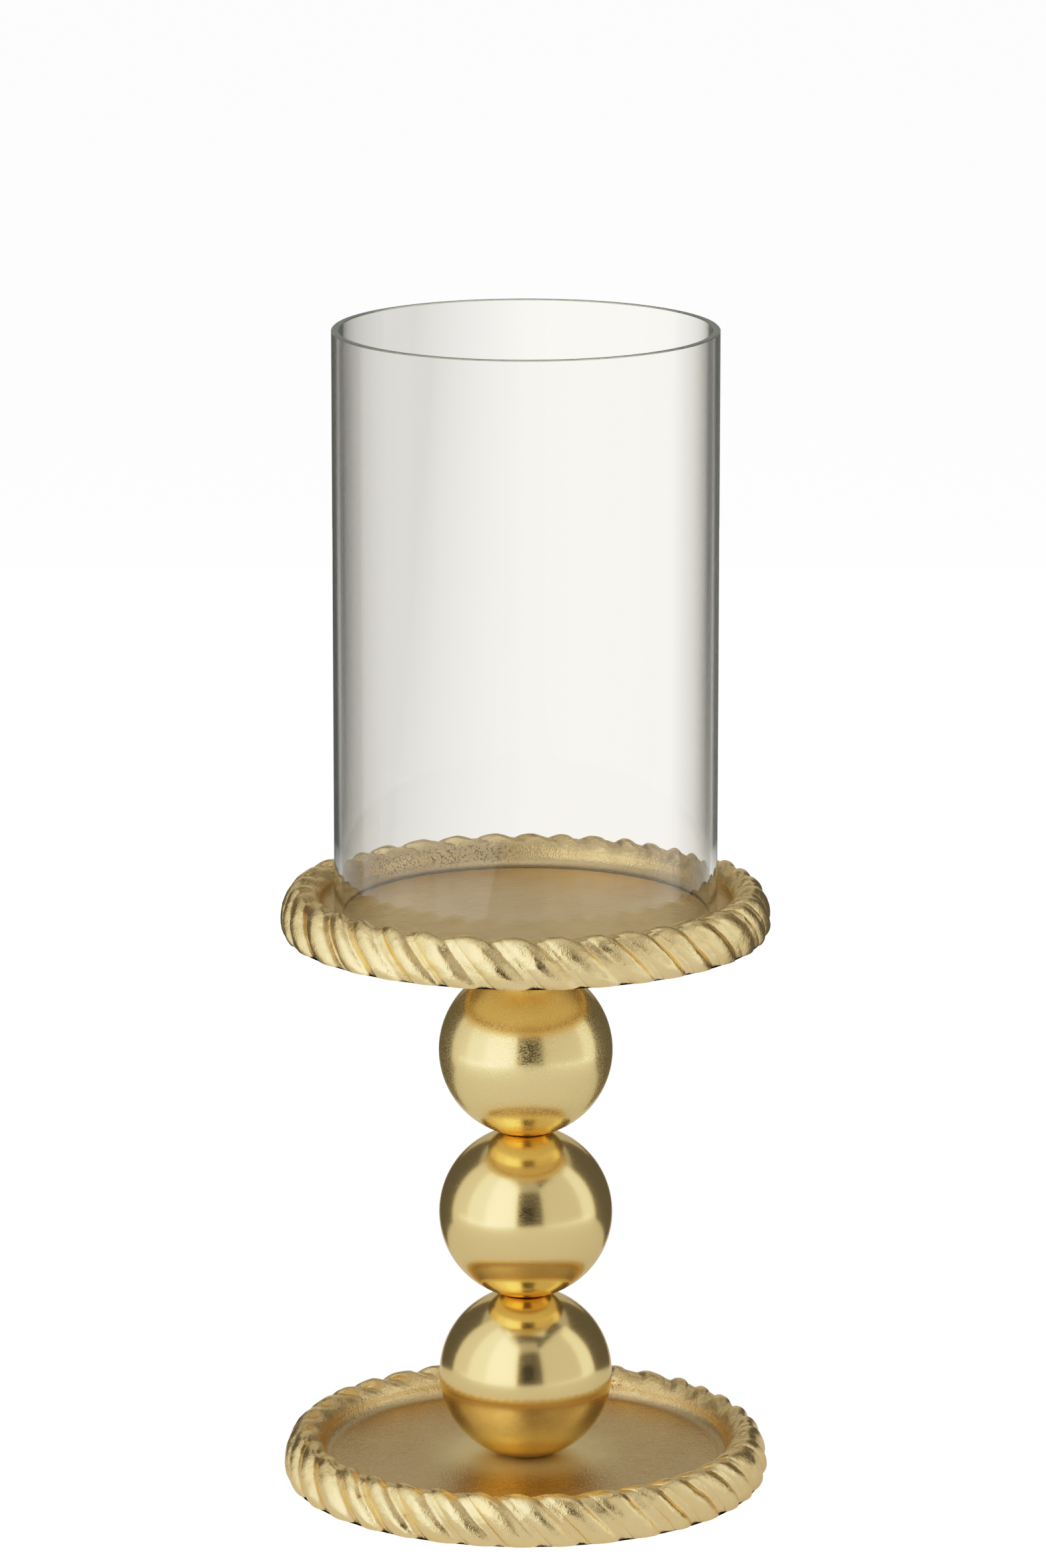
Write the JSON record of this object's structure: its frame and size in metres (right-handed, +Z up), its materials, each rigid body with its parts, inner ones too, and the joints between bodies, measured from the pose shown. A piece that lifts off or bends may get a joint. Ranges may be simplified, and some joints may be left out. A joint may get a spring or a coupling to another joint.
{
  "type": "pillar candle holder",
  "caption": "Hurricane candle holder: open glass cylinder standing in a rope-rimmed dish, on a stacked-ball column over a matching round base.",
  "frame": {"origin": "on the table under the centre of the base, at the plane of the feet", "axes": "+Z up along the holder's axis; -Y is the side seen in the reference view"},
  "size_m": [0.179, 0.179, 0.4316],
  "materials": {
    "clear_glass": "clear blown or drawn glass with a faint grey-green edge tint, ground rim",
    "gilt_casting": "cast metal under pale champagne-gold leaf, satin with a fine wrinkle and sand grain",
    "satin_gold": "spun shell with a satin gold finish",
    "zinc_steel": "bright zinc plate",
    "felt": "dark brown pressed felt"
  },
  "bodies": {
    "holder": {"candle_plate": "gilt_casting", "ball_upper": "satin_gold", "ball_middle": "satin_gold", "ball_lower": "satin_gold", "base_plate": "gilt_casting", "threaded_rod": "zinc_steel", "base_washer": "zinc_steel", "lock_washer": "zinc_steel", "base_nut": "zinc_steel", "base_foot_1": "felt", "base_foot_2": "felt", "base_foot_3": "felt", "base_foot_4": "felt"},
    "glass": {"glass_cylinder": "clear_glass"}
  },
  "joints": [
    {"name": "glass_lift", "type": "slide", "parent": "holder", "child": "glass", "axis": [0, 0, 1], "range_m": [0, 0.22]}
  ]
}
